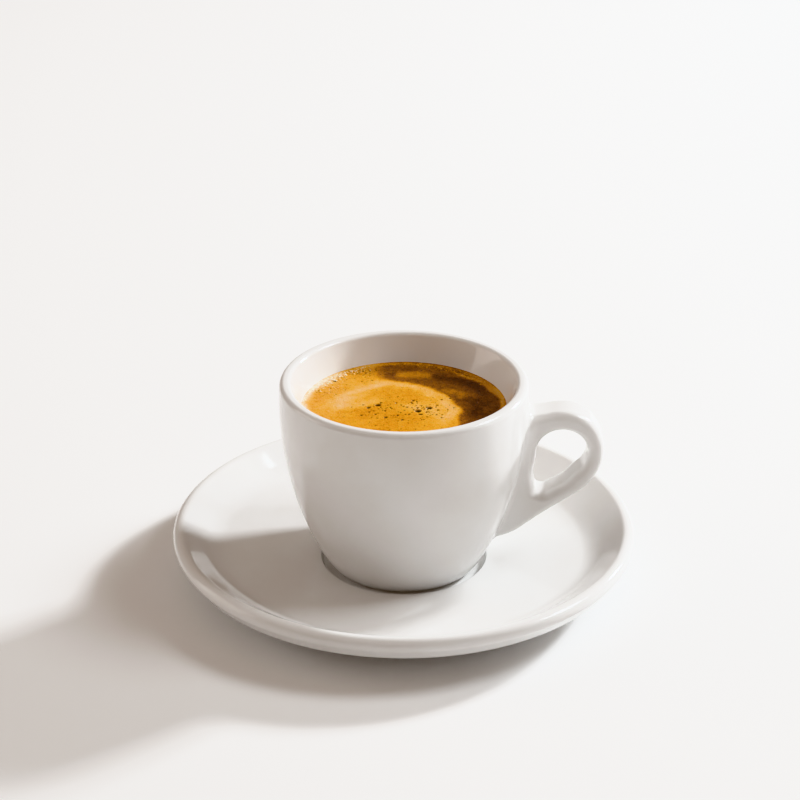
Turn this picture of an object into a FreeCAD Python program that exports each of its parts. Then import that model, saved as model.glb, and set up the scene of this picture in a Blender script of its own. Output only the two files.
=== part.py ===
import FreeCAD, Part
import math
import os
import re

import Sketcher

# An espresso cup on its saucer, filled with one shot. Millimetres, +Z up. The origin is on the
# common axis of cup and saucer, at the height of the table, and the handle points along +X.

# name, value, what it is
SIZES = [
    ("saucer_radius", 60.0, "outside of the saucer"),
    ("saucer_edge_round", 2.0, "radius of the rounded edge"),
    ("saucer_edge_height", 11.8, "centre of the rounded edge above the table"),
    ("saucer_border", 10.5, "width of the raised border"),
    ("saucer_slope_height", 8.0, "height where the gentle slope turns up into the border"),
    ("saucer_slope_round", 12.0, "rounding of that turn"),
    ("well_gap", 2.65, "room between the cup's foot and the rim of the well"),
    ("well_depth", 0.8, "depth of the well"),
    ("well_floor_height", 3.7, "the seat of the cup above the table"),
    ("well_step", 0.5, "how far the side of the well leans in"),
    ("well_round", 0.35, "rounding of the well's rim"),
    ("under_edge_inset", 2.6, "from the saucer's outside in to the foot of its edge"),
    ("under_edge_height", 7.6, "height of the underside there"),
    ("under_border", 14.0, "from the saucer's outside in to where the underside levels out"),
    ("under_turn_height", 3.6, "height of the underside there"),
    ("foot_ring_radius", 37.5, "outside of the saucer's foot ring at the table"),
    ("foot_ring_width", 3.2, "width of the foot ring at the table"),
    ("foot_ring_height", 2.4, "height of the foot ring on its outside"),
    ("foot_ring_lean", 0.7, "how far the foot ring's sides lean"),
    ("foot_ring_round", 0.7, "rounding of the foot ring's edges"),
    ("saucer_base_height", 1.2, "underside inside the foot ring"),
    ("cup_height", 51.0, "cup from its foot to the top of its rim"),
    ("cup_widest_radius", 31.8, "widest part of the bowl"),
    ("cup_widest_drop", 6.2, "from the rim down to the widest part"),
    ("cup_foot_radius", 19.0, "outside of the cup's foot"),
    ("cup_foot_width", 2.8, "width of the ring that the cup stands on"),
    ("cup_foot_recess", 1.2, "depth of the hollow under the foot"),
    ("cup_turn_out", 2.1, "how far the side stands outside the foot just above it"),
    ("cup_turn_rise", 2.8, "how far above the foot that is"),
    ("cup_base_curve", 10.5, "radius of the turn from the side to the foot"),
    ("rim_width", 2.85, "from the widest part in to the mouth at the rim, before rounding"),
    ("rim_round", 1.4, "rounding of the rim's two edges"),
    ("throat_wall", 6.8, "from the widest part in to where the flared mouth ends"),
    ("throat_drop", 10.2, "from the rim down to that place"),
    ("throat_round", 14.0, "rounding of that place"),
    ("inside_base_out", 0.2, "inside of the bowl at its floor, outside the foot, before rounding"),
    ("floor_wall", 5.5, "from the foot up to the floor of the bowl"),
    ("inside_floor_round", 14.0, "rounding between the bowl's side and floor"),
    ("drink_drop", 7.6, "from the rim down to the surface of the espresso"),
    ("drink_gap", 0.04, "clearance between the espresso and the bowl"),
    ("handle_stand_out", 19.7, "how far the handle stands out from the widest part"),
    ("handle_drop", 7.4, "from the rim down to the top of the handle"),
    ("handle_top_fall", 1.3, "how far the handle's top falls from there to the bowl"),
    ("handle_top_curve", 11.0, "radius of the handle's upper outline"),
    ("handle_side_curve", 14.4, "radius of the handle's lower outline"),
    ("handle_tail_rise", 4.9, "from the foot up to where the lower outline runs into the bowl"),
    ("handle_width", 9.6, "width of the handle, across its loop"),
    ("handle_root", 1.6, "how far the handle is let into the bowl's side"),
    ("handle_round", 2.0, "rounding of the handle's edges"),
    ("handle_blend", 2.5, "hollow rounding where the handle meets the bowl"),
    ("handle_side_band", 4.9, "handle between the finger hole and its outermost point"),
    ("handle_top_band", 5.5, "handle between the finger hole and its top"),
    ("finger_hole_radius", 6.4, "radius of the finger hole's large end"),
    ("finger_tip_radius", 2.0, "radius of the finger hole's small end"),
    ("finger_tip_in", 4.5, "from the large end's centre in to the small end's"),
    ("finger_tip_down", 9.6, "from the large end's centre down to the small end's"),
    ("finger_hole_outer_curve", 20.0, "radius of the finger hole's outer side"),
    ("finger_hole_inner_curve", 29.0, "radius of the finger hole's side towards the bowl"),
]

START, END, CENTRE = 1, 2, 3  # a sketch's numbers for the points of a line or an arc
ORIGIN = -1
ACROSS_AXIS, UP_AXIS = -1, -2
NEAR = 0.001

# Places and sizes that follow from the driving ones.
WELL_RADIUS = "(cup_foot_radius + well_gap)"
WELL_RIM_HEIGHT = "(well_floor_height + well_depth)"
SLOPE_END = ("saucer_radius - saucer_border", "saucer_slope_height")
UNDER_EDGE = ("saucer_radius - under_edge_inset", "under_edge_height")
UNDER_TURN = ("saucer_radius - under_border", "under_turn_height")
EDGE_CENTRE = ("saucer_radius - saucer_edge_round", "saucer_edge_height")
FOOT_RING_INSIDE = "(foot_ring_radius - foot_ring_width)"
RIM_HEIGHT = "(well_floor_height + cup_height)"
MOUTH_RADIUS = "(cup_widest_radius - rim_width)"
DRINK_LEVEL = f"({RIM_HEIGHT} - drink_drop)"
# The bowl's side is one arc in section, level with its centre where it is widest.
SIDE_FALL = "(cup_height - cup_widest_drop - cup_turn_rise)"
SIDE_LEAN = "(cup_widest_radius - cup_foot_radius - cup_turn_out)"
SIDE_CURVE = f"(({SIDE_FALL}^2 + {SIDE_LEAN}^2) / (2 * {SIDE_LEAN}))"
SIDE_CENTRE = (f"cup_widest_radius - {SIDE_CURVE}", f"{RIM_HEIGHT} - cup_widest_drop")
HANDLE_TOP = f"({RIM_HEIGHT} - handle_drop)"
HANDLE_REACH = "(cup_widest_radius + handle_stand_out)"
HANDLE_TURN_HEIGHT = f"({HANDLE_TOP} - handle_top_curve)"
HANDLE_TAIL_HEIGHT = "(well_floor_height + handle_tail_rise)"
HOLE_LARGE_END = (
    f"({HANDLE_REACH} - handle_side_band - finger_hole_radius)",
    f"({HANDLE_TOP} - handle_top_band - finger_hole_radius)",
)
HOLE_SMALL_END = (f"{HOLE_LARGE_END[0]} - finger_tip_in", f"{HOLE_LARGE_END[1]} - finger_tip_down")


def make_sheet(document):
    """Put every driving size in a spreadsheet, one row each, under its own alias."""
    sheet = document.addObject("Spreadsheet::Sheet", "Sizes")
    for row, (name, value, note) in enumerate(SIZES, start=1):
        sheet.set(f"A{row}", name)
        sheet.set(f"B{row}", str(value))
        sheet.set(f"C{row}", note)
        sheet.setAlias(f"B{row}", name)
    document.recompute()
    return sheet


def in_sheet(expression):
    """The expression with each size's name as other objects must write it."""
    return re.sub(r"[a-z_]+", lambda word: f"Sizes.{word[0]}", expression)


def amount(sheet, expression):
    """What an expression in the sizes comes to."""
    return float(sheet.evalExpression(expression))


def place(sheet, across, up):
    return (amount(sheet, across), amount(sheet, up))


def origin_plane(body, role):
    return next(item for item in body.Origin.OriginFeatures if item.Role == role)


def touching_point(point, centre, radius, side):
    """Where the tangent from a point meets a circle. side 1 or -1 picks which of the two."""
    across, up = centre[0] - point[0], centre[1] - point[1]
    reach = math.hypot(across, up)
    angle = math.atan2(-up, -across) + side * math.acos(radius / reach)
    return (centre[0] + radius * math.cos(angle), centre[1] + radius * math.sin(angle))


def at_distances(first, reach, second, other_reach, side):
    """The point at a distance from each of two points. side 1 or -1 picks left or right of the way."""
    apart = math.dist(first, second)
    along = (reach**2 - other_reach**2 + apart**2) / (2 * apart)
    off = side * math.sqrt(reach**2 - along**2)
    way = ((second[0] - first[0]) / apart, (second[1] - first[1]) / apart)
    return (first[0] + way[0] * along - way[1] * off, first[1] + way[1] * along + way[0] * off)


def beyond(centre, point, radius):
    """The point of a circle in the direction of another point."""
    share = radius / math.dist(centre, point)
    return tuple(c + (p - c) * share for c, p in zip(centre, point))


def on_circle(centre, radius, up):
    """The point of a circle at a height, on the side away from the axis."""
    return (centre[0] + math.sqrt(radius**2 - (up - centre[1]) ** 2), up)


class Outline:
    """A closed outline in the upright plane, drawn end to end through places.

    A place is two expressions, across and up. None leaves that way for a tangency to settle,
    and guess then says roughly where the place comes out.
    """

    def __init__(self, body, name, sheet):
        self.sheet = sheet
        self.sketch = body.newObject("Sketcher::SketchObject", name)
        self.sketch.AttachmentSupport = (origin_plane(body, "XZ_Plane"), [""])
        self.sketch.MapMode = "FlatFace"
        self.first = None
        self.last = None
        self.here = None
        self.begin = None

    def tie(self, geometry, point, across, up):
        """Hold a point at its distance from the axis and its height above the table."""
        for kind, axis, expression in (("DistanceX", UP_AXIS, across), ("DistanceY", ACROSS_AXIS, up)):
            if expression is None:
                continue
            value = amount(self.sheet, expression)
            if value == 0:
                self.sketch.addConstraint(Sketcher.Constraint("PointOnObject", geometry, point, axis))
                continue
            ends = (ORIGIN, START, geometry, point)
            if value < 0:
                ends = (geometry, point, ORIGIN, START)
                expression = f"-({expression})"
            index = self.sketch.addConstraint(Sketcher.Constraint(kind, *ends, abs(value)))
            self.sketch.setExpression(f"Constraints[{index}]", in_sheet(expression))

    def start(self, across, up, guess=None):
        self.begin = (across, up)
        self.here = guess or place(self.sheet, across, up)

    def join(self, geometry, near, far, smooth):
        """Hang a new line or arc on the end of the last one."""
        if self.last is None:
            self.first = (geometry, near)
            self.tie(geometry, near, *self.begin)
        else:
            kind = "Tangent" if smooth else "Coincident"
            self.sketch.addConstraint(Sketcher.Constraint(kind, *self.last, geometry, near))
        self.last = (geometry, far)

    def line(self, across, up, guess=None, smooth=False):
        goal = guess or place(self.sheet, across, up)
        edge = Part.LineSegment(FreeCAD.Vector(*self.here, 0), FreeCAD.Vector(*goal, 0))
        geometry = self.sketch.addGeometry(edge, False)
        self.join(geometry, START, END, smooth)
        self.tie(geometry, END, across, up)
        self.here = goal

    def arc(self, goal, radius, centre, middle, turn, smooth=False, ends=(None, None)):
        """An arc about middle to goal, both rough, held by its radius and what centre and ends tie.

        turn is 1 for anticlockwise and -1 for clockwise.
        """
        angles = [math.atan2(p[1] - middle[1], p[0] - middle[0]) for p in (self.here, goal)]
        low, high = angles if turn > 0 else reversed(angles)
        circle = Part.Circle(
            FreeCAD.Vector(*middle, 0), FreeCAD.Vector(0, 0, 1), amount(self.sheet, radius)
        )
        geometry = self.sketch.addGeometry(Part.ArcOfCircle(circle, low, high), False)
        near, far = (START, END) if turn > 0 else (END, START)
        self.join(geometry, near, far, smooth)
        index = self.sketch.addConstraint(
            Sketcher.Constraint("Radius", geometry, amount(self.sheet, radius))
        )
        self.sketch.setExpression(f"Constraints[{index}]", in_sheet(radius))
        self.tie(geometry, CENTRE, *centre)
        self.tie(geometry, far, *ends)
        self.here = goal

    def meet(self, smooth=False):
        """Join the last end to the first."""
        kind = "Tangent" if smooth else "Coincident"
        self.sketch.addConstraint(Sketcher.Constraint(kind, *self.last, *self.first))
        return self.sketch

    def close(self):
        """Draw a last line back to where the outline began."""
        self.line(None, None, guess=place(self.sheet, *self.begin))
        return self.meet()


def revolve(body, sketch, name):
    """Turn an outline about the upright axis."""
    solid = body.newObject("PartDesign::Revolution", name)
    solid.Profile = sketch
    solid.ReferenceAxis = (sketch, ["V_Axis"])
    solid.Angle = 360.0
    sketch.Document.recompute()
    return solid


def ring_edges(solid, sheet, rings):
    """The names of the circular edges about the axis at each (radius, height) pair."""
    wanted = [place(sheet, across, up) for across, up in rings]
    names = []
    for number, edge in enumerate(solid.Shape.Edges, start=1):
        if not isinstance(edge.Curve, Part.Circle):
            continue
        found = (edge.Curve.Radius, edge.Curve.Center.z)
        if any(math.dist(found, goal) < NEAR for goal in wanted):
            names.append(f"Edge{number}")
    if len(names) != len(rings):
        raise RuntimeError(f"{solid.Name}: {len(names)} of {len(rings)} edges found")
    return names


def round_edges(body, base, names, radius, name):
    """Round the named edges with one radius from the sheet."""
    rounding = body.newObject("PartDesign::Fillet", name)
    rounding.Base = (base, names)
    rounding.setExpression("Radius", in_sheet(radius))
    base.Document.recompute()
    return rounding


def make_body(document, label):
    body = document.addObject("PartDesign::Body", label.capitalize())
    body.Label = label
    body.Placement = FreeCAD.Placement()
    return body


def saucer(document, sheet):
    """A dished round plate: a well for the cup, a gentle slope, a border with a rounded edge."""
    body = make_body(document, "saucer")
    outline = Outline(body, "SaucerOutline", sheet)
    edge = place(sheet, *EDGE_CENTRE)
    tube = amount(sheet, "saucer_edge_round")
    outline.start("0", "well_floor_height")
    outline.line(f"{WELL_RADIUS} - well_step", "well_floor_height")
    outline.line(WELL_RADIUS, WELL_RIM_HEIGHT)
    outline.line(*SLOPE_END)
    outline.line(None, None, guess=touching_point(place(sheet, *SLOPE_END), edge, tube, -1))
    outer = touching_point(place(sheet, *UNDER_EDGE), edge, tube, 1)
    outline.arc(outer, "saucer_edge_round", EDGE_CENTRE, edge, turn=-1, smooth=True)
    outline.line(*UNDER_EDGE, smooth=True)
    outline.line(*UNDER_TURN)
    outline.line("foot_ring_radius + foot_ring_lean", "foot_ring_height")
    outline.line("foot_ring_radius", "0")
    outline.line(FOOT_RING_INSIDE, "0")
    outline.line(f"{FOOT_RING_INSIDE} - foot_ring_lean", "saucer_base_height")
    outline.line("0", "saucer_base_height")
    plate = revolve(body, outline.close(), "SaucerPlate")

    bends = ring_edges(plate, sheet, [SLOPE_END, UNDER_TURN])
    bent = round_edges(body, plate, bends, "saucer_slope_round", "SaucerBend")
    rim = ring_edges(bent, sheet, [(WELL_RADIUS, WELL_RIM_HEIGHT)])
    well = round_edges(body, bent, rim, "well_round", "WellRim")
    feet = ring_edges(well, sheet, [("foot_ring_radius", "0"), (FOOT_RING_INSIDE, "0"), UNDER_EDGE])
    round_edges(body, well, feet, "foot_ring_round", "FootRingEdges")
    return body


def inside_corners(gap):
    """The throat and the floor's edge of the bowl's inside, moved in by a gap."""
    throat = (f"cup_widest_radius - throat_wall - {gap}", f"{RIM_HEIGHT} - throat_drop")
    floor = (
        f"cup_foot_radius + inside_base_out - {gap}",
        f"well_floor_height + floor_wall + {gap}",
    )
    return throat, floor


def inside_of_bowl(outline, gap):
    """The inside of the bowl from its flared mouth to the axis, moved in by a gap."""
    throat, floor = inside_corners(gap)
    outline.line(*throat)
    outline.line(*floor)
    outline.line("0", floor[1])


def side_centre(sheet):
    return place(sheet, *SIDE_CENTRE)


def base_turn(sheet):
    """The centre of the turn above the foot, and where it runs into the side."""
    side = side_centre(sheet)
    foot = place(sheet, "cup_foot_radius", "well_floor_height")
    small = amount(sheet, "cup_base_curve")
    large = amount(sheet, SIDE_CURVE)
    centre = at_distances(side, large - small, foot, small, 1)
    return centre, beyond(side, centre, large)


def bowl(body, sheet):
    """The turned part of the cup: foot, rounded side, rim and inside."""
    outline = Outline(body, "BowlOutline", sheet)
    turn_centre, meeting = base_turn(sheet)
    side = side_centre(sheet)
    rim = on_circle(side, amount(sheet, SIDE_CURVE), amount(sheet, RIM_HEIGHT))
    foot_inside = "cup_foot_radius - cup_foot_width"
    foot_hollow = "well_floor_height + cup_foot_recess"
    outline.start("cup_foot_radius", "well_floor_height")
    outline.arc(meeting, "cup_base_curve", (None, None), turn_centre, turn=1)
    outline.arc(rim, SIDE_CURVE, SIDE_CENTRE, side, turn=1, smooth=True, ends=(None, RIM_HEIGHT))
    outline.line(MOUTH_RADIUS, RIM_HEIGHT)
    inside_of_bowl(outline, "0")
    outline.line("0", foot_hollow)
    outline.line(foot_inside, foot_hollow)
    outline.line(foot_inside, "well_floor_height")
    solid = revolve(body, outline.close(), "Bowl")

    throat, floor = inside_corners("0")
    solid = round_edges(body, solid, ring_edges(solid, sheet, [throat]), "throat_round", "Throat")
    floor_edge = ring_edges(solid, sheet, [floor])
    solid = round_edges(body, solid, floor_edge, "inside_floor_round", "BowlFloor")
    height = amount(sheet, RIM_HEIGHT)
    names = [
        f"Edge{number}" for number, edge in enumerate(solid.Shape.Edges, start=1)
        if isinstance(edge.Curve, Part.Circle) and abs(edge.Curve.Center.z - height) < NEAR
    ]
    return round_edges(body, solid, names, "rim_round", "Rim")


def handle_outline(body, sheet):
    """The handle's outline: over the top, round the reach, and down in a line to the bowl.

    Its inner side follows the bowl's side, let in by the handle's root.
    """
    side = side_centre(sheet)
    root_curve = f"{SIDE_CURVE} - handle_root"
    inner = amount(sheet, root_curve)
    upper_place = (f"{HANDLE_REACH} - handle_top_curve", HANDLE_TURN_HEIGHT)
    lower = place(sheet, f"{HANDLE_REACH} - handle_side_curve", HANDLE_TURN_HEIGHT)
    root_top = f"{HANDLE_TOP} - handle_top_fall"
    root = on_circle(side, inner, amount(sheet, root_top))
    crest = touching_point(root, place(sheet, *upper_place), amount(sheet, "handle_top_curve"), -1)
    tail = on_circle(side, inner, amount(sheet, HANDLE_TAIL_HEIGHT))
    leave = touching_point(tail, lower, amount(sheet, "handle_side_curve"), 1)
    reach = place(sheet, HANDLE_REACH, HANDLE_TURN_HEIGHT)
    outline = Outline(body, "HandleOutline", sheet)
    outline.start(None, root_top, guess=root)
    outline.line(None, None, guess=crest)
    outline.arc(
        reach, "handle_top_curve", upper_place, place(sheet, *upper_place), turn=-1, smooth=True,
        ends=(None, HANDLE_TURN_HEIGHT),
    )
    outline.arc(leave, "handle_side_curve", (None, None), lower, turn=-1, smooth=True)
    outline.line(None, HANDLE_TAIL_HEIGHT, guess=tail, smooth=True)
    outline.arc(root, root_curve, SIDE_CENTRE, side, turn=1)
    return outline.meet()


def finger_hole_outline(body, sheet):
    """The finger hole: a large and a small round end, with a bowed side from one to the other."""
    ends = [
        (HOLE_LARGE_END, place(sheet, *HOLE_LARGE_END), "finger_hole_radius"),
        (HOLE_SMALL_END, place(sheet, *HOLE_SMALL_END), "finger_tip_radius"),
    ]
    # Each side's arc wraps both ends, so its centre lies within it by their radii.
    sides = []
    for name, left_or_right in (("finger_hole_outer_curve", -1), ("finger_hole_inner_curve", 1)):
        curve = amount(sheet, name)
        reaches = [curve - amount(sheet, radius) for _, _, radius in ends]
        centre = at_distances(ends[0][1], reaches[0], ends[1][1], reaches[1], left_or_right)
        touches = [beyond(centre, middle, curve) for _, middle, _ in ends]
        sides.append((name, centre, touches))
    (outer, outer_centre, outer_touch), (inner, inner_centre, inner_touch) = sides

    outline = Outline(body, "FingerHoleOutline", sheet)
    outline.start(None, None, guess=outer_touch[0])
    outline.arc(outer_touch[1], outer, (None, None), outer_centre, turn=-1)
    outline.arc(inner_touch[1], ends[1][2], *ends[1][:2], turn=-1, smooth=True)
    outline.arc(inner_touch[0], inner, (None, None), inner_centre, turn=-1, smooth=True)
    outline.arc(outer_touch[0], ends[0][2], *ends[0][:2], turn=-1, smooth=True)
    return outline.meet(smooth=True)


def on_bowl_side(sheet, edge):
    """Whether an edge lies on the outside of the bowl from end to end."""
    centre = side_centre(sheet)
    curve = amount(sheet, SIDE_CURVE)
    for point in edge.discretize(5):
        if abs(point.z - centre[1]) > curve:
            return False
        if abs(math.hypot(point.x, point.y) - on_circle(centre, curve, point.z)[0]) > 0.01:
            return False
    return True


def handle(body, base, sheet):
    """The handle on the bowl: a flat loop with a finger hole, all its edges rounded."""
    loop = body.newObject("PartDesign::Pad", "HandleLoop")
    loop.Profile = handle_outline(body, sheet)
    loop.SideType = "Symmetric"
    loop.setExpression("Length", in_sheet("handle_width"))
    hole = body.newObject("PartDesign::Pocket", "FingerHole")
    hole.Profile = finger_hole_outline(body, sheet)
    hole.SideType = "Symmetric"
    hole.setExpression("Length", in_sheet("handle_width * 2"))
    base.Document.recompute()
    if hole.Shape.Volume >= loop.Shape.Volume:
        raise RuntimeError("the finger hole cuts nothing")

    half = amount(sheet, "handle_width / 2")
    flat_edges = []
    for number, edge in enumerate(hole.Shape.Edges, start=1):
        box = edge.BoundBox
        flat = abs(abs(box.YMin) - half) < NEAR and box.YLength < NEAR
        if flat and not on_bowl_side(sheet, edge):
            flat_edges.append(f"Edge{number}")
    rounded = round_edges(body, hole, flat_edges, "handle_round", "HandleEdges")

    root_edges = []
    for number, edge in enumerate(rounded.Shape.Edges, start=1):
        box = edge.BoundBox
        in_middle_plane = box.YLength < NEAR and abs(box.YMin) < NEAR
        if on_bowl_side(sheet, edge) and box.XMin > 0 and not in_middle_plane:
            root_edges.append(f"Edge{number}")
    return round_edges(body, rounded, root_edges, "handle_blend", "HandleRoot")


def cup(document, sheet):
    body = make_body(document, "cup")
    handle(body, bowl(body, sheet), sheet)
    return body


def espresso(document, sheet):
    """The drink: it fills the bowl's inside up to its level, a hair clear of the wall."""
    body = make_body(document, "espresso")
    outline = Outline(body, "InsideOutline", sheet)
    outline.start(f"{MOUTH_RADIUS} - drink_gap", RIM_HEIGHT)
    inside_of_bowl(outline, "drink_gap")
    outline.line("0", RIM_HEIGHT)
    solid = revolve(body, outline.close(), "BowlFilling")
    throat, floor = inside_corners("drink_gap")
    throat_edge = ring_edges(solid, sheet, [throat])
    solid = round_edges(body, solid, throat_edge, "throat_round + drink_gap", "DrinkThroat")
    floor_edge = ring_edges(solid, sheet, [floor])
    solid = round_edges(body, solid, floor_edge, "inside_floor_round - drink_gap", "DrinkFloor")

    above = Outline(body, "AboveDrinkOutline", sheet)
    above.start("0", DRINK_LEVEL)
    above.line("cup_widest_radius", DRINK_LEVEL)
    above.line("cup_widest_radius", f"{RIM_HEIGHT} + drink_drop")
    above.line("0", f"{RIM_HEIGHT} + drink_drop")
    sketch = above.close()
    level = body.newObject("PartDesign::Groove", "DrinkLevel")
    level.Profile = sketch
    level.ReferenceAxis = (sketch, ["V_Axis"])
    level.Angle = 360.0
    document.recompute()
    if level.Shape.Volume >= solid.Shape.Volume:
        raise RuntimeError("the drink isn't cut off at its level")
    return body


def check(document, bodies):
    """Stop if anything failed to build."""
    for item in document.Objects:
        if "Invalid" in item.State or "Error" in item.State:
            raise RuntimeError(f"{item.Label} did not build: {item.State}")
    for body in bodies:
        if body.Shape.isNull() or not body.Shape.isValid() or len(body.Shape.Solids) != 1:
            raise RuntimeError(f"{body.Label} is not one valid solid")


def main():
    document = FreeCAD.newDocument("EspressoShot")
    sheet = make_sheet(document)
    bodies = [make(document, sheet) for make in (saucer, cup, espresso)]
    document.recompute()
    check(document, bodies)
    os.makedirs("parts", exist_ok=True)
    for body in bodies:
        body.Shape.exportStep(f"parts/{body.Label}.step")
        box = body.Shape.optimalBoundingBox()
        size = " x ".join(f"{side:.2f}" for side in (box.XLength, box.YLength, box.ZLength))
        print(f"{body.Label}: {size} mm, {body.Shape.Volume / 1000:.1f} cm3")


main()
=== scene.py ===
import bpy
import numpy as np
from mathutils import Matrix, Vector


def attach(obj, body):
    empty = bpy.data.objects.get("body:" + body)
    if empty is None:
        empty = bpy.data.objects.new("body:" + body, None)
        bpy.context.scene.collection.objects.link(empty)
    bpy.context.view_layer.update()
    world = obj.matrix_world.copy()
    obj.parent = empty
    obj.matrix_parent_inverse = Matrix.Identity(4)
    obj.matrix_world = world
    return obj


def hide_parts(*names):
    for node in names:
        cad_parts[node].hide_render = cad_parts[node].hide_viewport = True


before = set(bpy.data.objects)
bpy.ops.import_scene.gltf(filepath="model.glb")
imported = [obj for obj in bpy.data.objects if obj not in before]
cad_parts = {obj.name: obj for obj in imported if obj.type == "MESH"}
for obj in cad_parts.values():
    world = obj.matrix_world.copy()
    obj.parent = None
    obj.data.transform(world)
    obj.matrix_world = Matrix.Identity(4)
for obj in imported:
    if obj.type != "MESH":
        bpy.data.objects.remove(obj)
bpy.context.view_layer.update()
mm = 0.001  # the sizes below are in millimetres, the scene is in metres
print("frame loaded")


def roundedPath(corners, arcSteps=28, leastTurn=1e-4):
    # straight runs from corner to corner, and in place of each corner the arc of its own radius
    # that touches both runs: it starts radius x tan(half the turn) before the corner
    points = [np.array(corners[0][:2], float)]
    for i in range(1, len(corners) - 1):
        before, here, after = (np.array(corners[k][:2], float) for k in (i - 1, i, i + 1))
        radius = corners[i][2]
        inward = (here - before) / np.linalg.norm(here - before)
        outward = (after - here) / np.linalg.norm(after - here)
        cross = inward[0] * outward[1] - inward[1] * outward[0]
        turn = np.arctan2(cross, inward @ outward)
        if radius == 0 or abs(turn) < leastTurn:
            points.append(here)
            continue
        start = here - inward * radius * np.tan(abs(turn) / 2)
        side = np.array([-inward[1], inward[0]]) * np.sign(turn)
        angle = np.linspace(0, abs(turn), arcSteps)[:, None]
        points.extend(start + radius * (np.sin(angle) * inward + (1 - np.cos(angle)) * side))
    points.append(np.array(corners[-1][:2], float))
    return np.array(points)


def evenSteps(path, count, turnLength, fineSteps=12000, smoothOver=25):
    # count points along the path: every step is the same amount of length + turnLength x turn
    length = np.r_[0, np.cumsum(np.hypot(*np.diff(path, axis=0).T))]
    along = np.linspace(0, length[-1], fineSteps)
    fine = np.stack([np.interp(along, length, path[:, k]) for k in (0, 1)], 1)
    heading = np.unwrap(np.arctan2(*np.gradient(fine, axis=0).T[::-1]))
    window = np.ones(smoothOver) / smoothOver
    turn = np.convolve(np.abs(np.gradient(heading, along)), window, "same")
    cost = np.r_[0, np.cumsum((1 + turnLength * turn)[1:] * np.diff(along))]
    at = np.interp(np.linspace(0, cost[-1], count), cost, along)
    return np.stack([np.interp(at, along, fine[:, k]) for k in (0, 1)], 1)


def gridQuads(rows, columns, closeRows=False):
    # the quads of a grid of rows x columns points, whose columns close into rings
    row = np.arange(rows if closeRows else rows - 1)[:, None]
    column = np.arange(columns)[None, :]
    nextRow, nextColumn = (row + 1) % rows, (column + 1) % columns
    corners = (row * columns + column, row * columns + nextColumn,
               nextRow * columns + nextColumn, nextRow * columns + column)
    return np.stack([np.broadcast_to(c, np.broadcast_shapes(row.shape, column.shape))
                     for c in corners], -1).reshape(-1, 4)


def ringPoints(profile, angles):
    # radius x cos, radius x sin and height of every place on the profile, at every angle
    return np.stack([profile[:, :1] * np.cos(angles), profile[:, :1] * np.sin(angles),
                     profile[:, 1:] + 0 * angles], -1).reshape(-1, 3)


def turned(profile, angles):
    # a profile (radius, height) turned about the Z axis; its two ends are on the axis
    ring = profile[1:-1]
    points = ringPoints(ring, angles)
    first, last = len(points), len(points) + 1
    poles = [[0, 0, profile[0, 1]], [0, 0, profile[-1, 1]]]
    one = np.arange(len(angles))
    two = np.roll(one, -1)
    start = (len(ring) - 1) * len(angles)
    caps = np.r_[np.c_[one * 0 + first, two, one], np.c_[one * 0 + last, start + one, start + two]]
    points = np.r_[points, poles]
    return points, *facedOutwards(points, gridQuads(len(ring), len(angles)), caps)


def volumeOf(points, quads, triangles):
    # sum of the signed tetrahedra between the faces and the origin
    faces = np.r_[quads[:, [0, 1, 2]], quads[:, [0, 2, 3]], triangles]
    a, b, c = (points[faces[:, k]] for k in (0, 1, 2))
    return np.einsum("ij,ij->", a, np.cross(b, c)) / 6


def facedOutwards(points, quads, triangles):
    # the faces of a closed shape, all turned over if its volume comes out negative
    if volumeOf(points, quads, triangles) < 0:
        return quads[:, ::-1], triangles[:, ::-1]
    return quads, triangles


def makePiece(name, points, quads, triangles, normals=None):
    # one mesh object from points in millimetres, shaded smooth or with the normals given
    triangles = np.asarray(triangles, int).reshape(-1, 3)
    mesh = bpy.data.meshes.new(name)
    mesh.vertices.add(len(points))
    mesh.vertices.foreach_set("co", (points * mm).astype(np.float32).ravel())
    corners = np.r_[quads.ravel(), triangles.ravel()].astype(np.int32)
    sizes = np.r_[np.full(len(quads), 4), np.full(len(triangles), 3)]
    mesh.loops.add(len(corners))
    mesh.loops.foreach_set("vertex_index", corners)
    mesh.polygons.add(len(sizes))
    mesh.polygons.foreach_set("loop_start", np.r_[0, np.cumsum(sizes)[:-1]].astype(np.int32))
    mesh.update(calc_edges=True)
    mesh.validate()
    mesh.polygons.foreach_set("use_smooth", np.ones(len(mesh.polygons), bool))
    if normals is not None:
        mesh.normals_split_custom_set_from_vertices(normals.astype(np.float32).tolist())
    piece = bpy.data.objects.new(name, mesh)
    bpy.context.scene.collection.objects.link(piece)
    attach(piece, "root")
    print(name, "built:", len(points), "points")
    return piece


def smoothStep(low, high, value):
    # 0 below low, 1 above high, and between them 3 s s - 2 s s s of the share s of the way
    share = np.clip((value - low) / (high - low), 0, 1)
    return share * share * (3 - 2 * share)


def newMaterial(name):
    material = bpy.data.materials.new(name)
    material.use_nodes = True
    nodes = material.node_tree.nodes
    return material, nodes, material.node_tree.links, nodes["Principled BSDF"]


def addNoise(nodes, links, place, scale, detail, roughness=0.5):
    noise = nodes.new("ShaderNodeTexNoise")
    noise.inputs["Scale"].default_value = scale
    noise.inputs["Detail"].default_value = detail
    noise.inputs["Roughness"].default_value = roughness
    links.new(place, noise.inputs["Vector"])
    return noise.outputs["Fac"]


def addRamp(nodes, links, value, stops):
    # a colour for each value, from stops of (position, colour)
    ramp = nodes.new("ShaderNodeValToRGB")
    elements = ramp.color_ramp.elements
    while len(elements) < len(stops):
        elements.new(0.5)
    for element, (position, colour) in zip(elements, stops):
        element.position = position
        element.color = (*colour, 1)
    links.new(value, ramp.inputs["Fac"])
    return ramp.outputs["Color"]


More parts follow.
